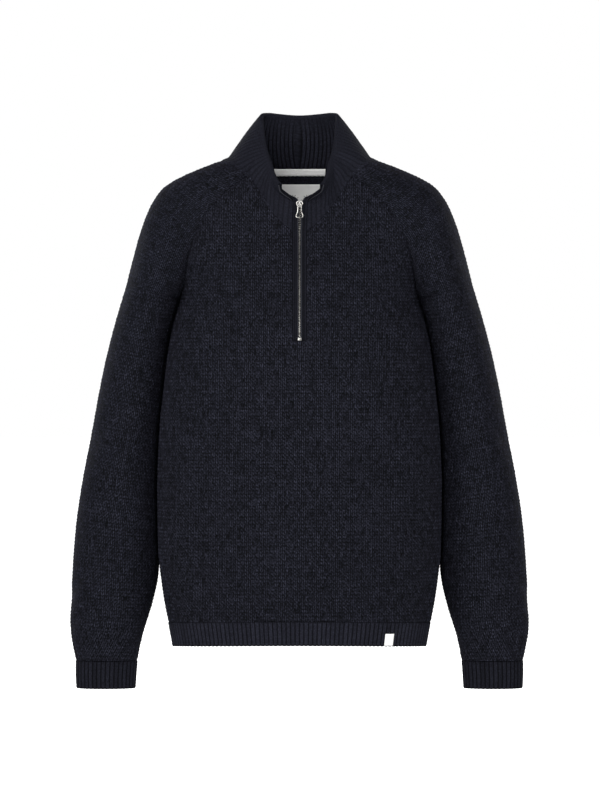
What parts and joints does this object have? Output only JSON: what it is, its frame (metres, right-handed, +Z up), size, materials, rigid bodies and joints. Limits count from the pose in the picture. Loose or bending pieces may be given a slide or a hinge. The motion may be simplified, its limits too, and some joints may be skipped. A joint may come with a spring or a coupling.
{
  "type": "quarter zip sweater",
  "caption": "Hollow quarter zip sweater with raglan sleeves, a standing ribbed collar, ribbed hem and cuffs and a short metal zip with a hinged pull, posed as if worn.",
  "frame": {"origin": "in the middle of the neck, level with the top of the shoulders, where the wearer's neck carries it", "axes": "+Z is up along the body, -Y is the way the front and its zip face, and +X is the wearer's left"},
  "size_m": [0.6412, 0.2658, 0.8061],
  "materials": {
    "navy_knit": "soft marled knit, dark navy",
    "navy_rib": "soft marled ribbing, dark navy",
    "zip_tape": "woven, matt",
    "silver_metal": "polished, lightly dulled",
    "white_label": "woven, plain white, nothing on it"
  },
  "bodies": {
    "sweater": {"front": "navy_knit", "back": "navy_knit", "sleeve_left": "navy_knit", "sleeve_right": "navy_knit", "hem_rib_front": "navy_rib", "hem_rib_back": "navy_rib", "cuff_left": "navy_rib", "cuff_right": "navy_rib", "collar": "navy_rib", "edge_strip_left": "navy_rib", "edge_strip_right": "navy_rib", "zip_tape_left": "zip_tape", "zip_tape_right": "zip_tape", "zip_chain_left": "silver_metal", "zip_chain_right": "silver_metal", "zip_slider": "silver_metal", "zip_stop": "silver_metal", "neck_tape": "white_label", "neck_label": "white_label", "hem_label": "white_label"},
    "pull": {"zip_pull": "silver_metal"}
  },
  "joints": [
    {"name": "pull_swing", "type": "hinge", "parent": "sweater", "child": "pull", "pos_m": [0, -0.07392, -0.065], "axis": [-1, 0, 0], "range_deg": [0, 150]}
  ]
}
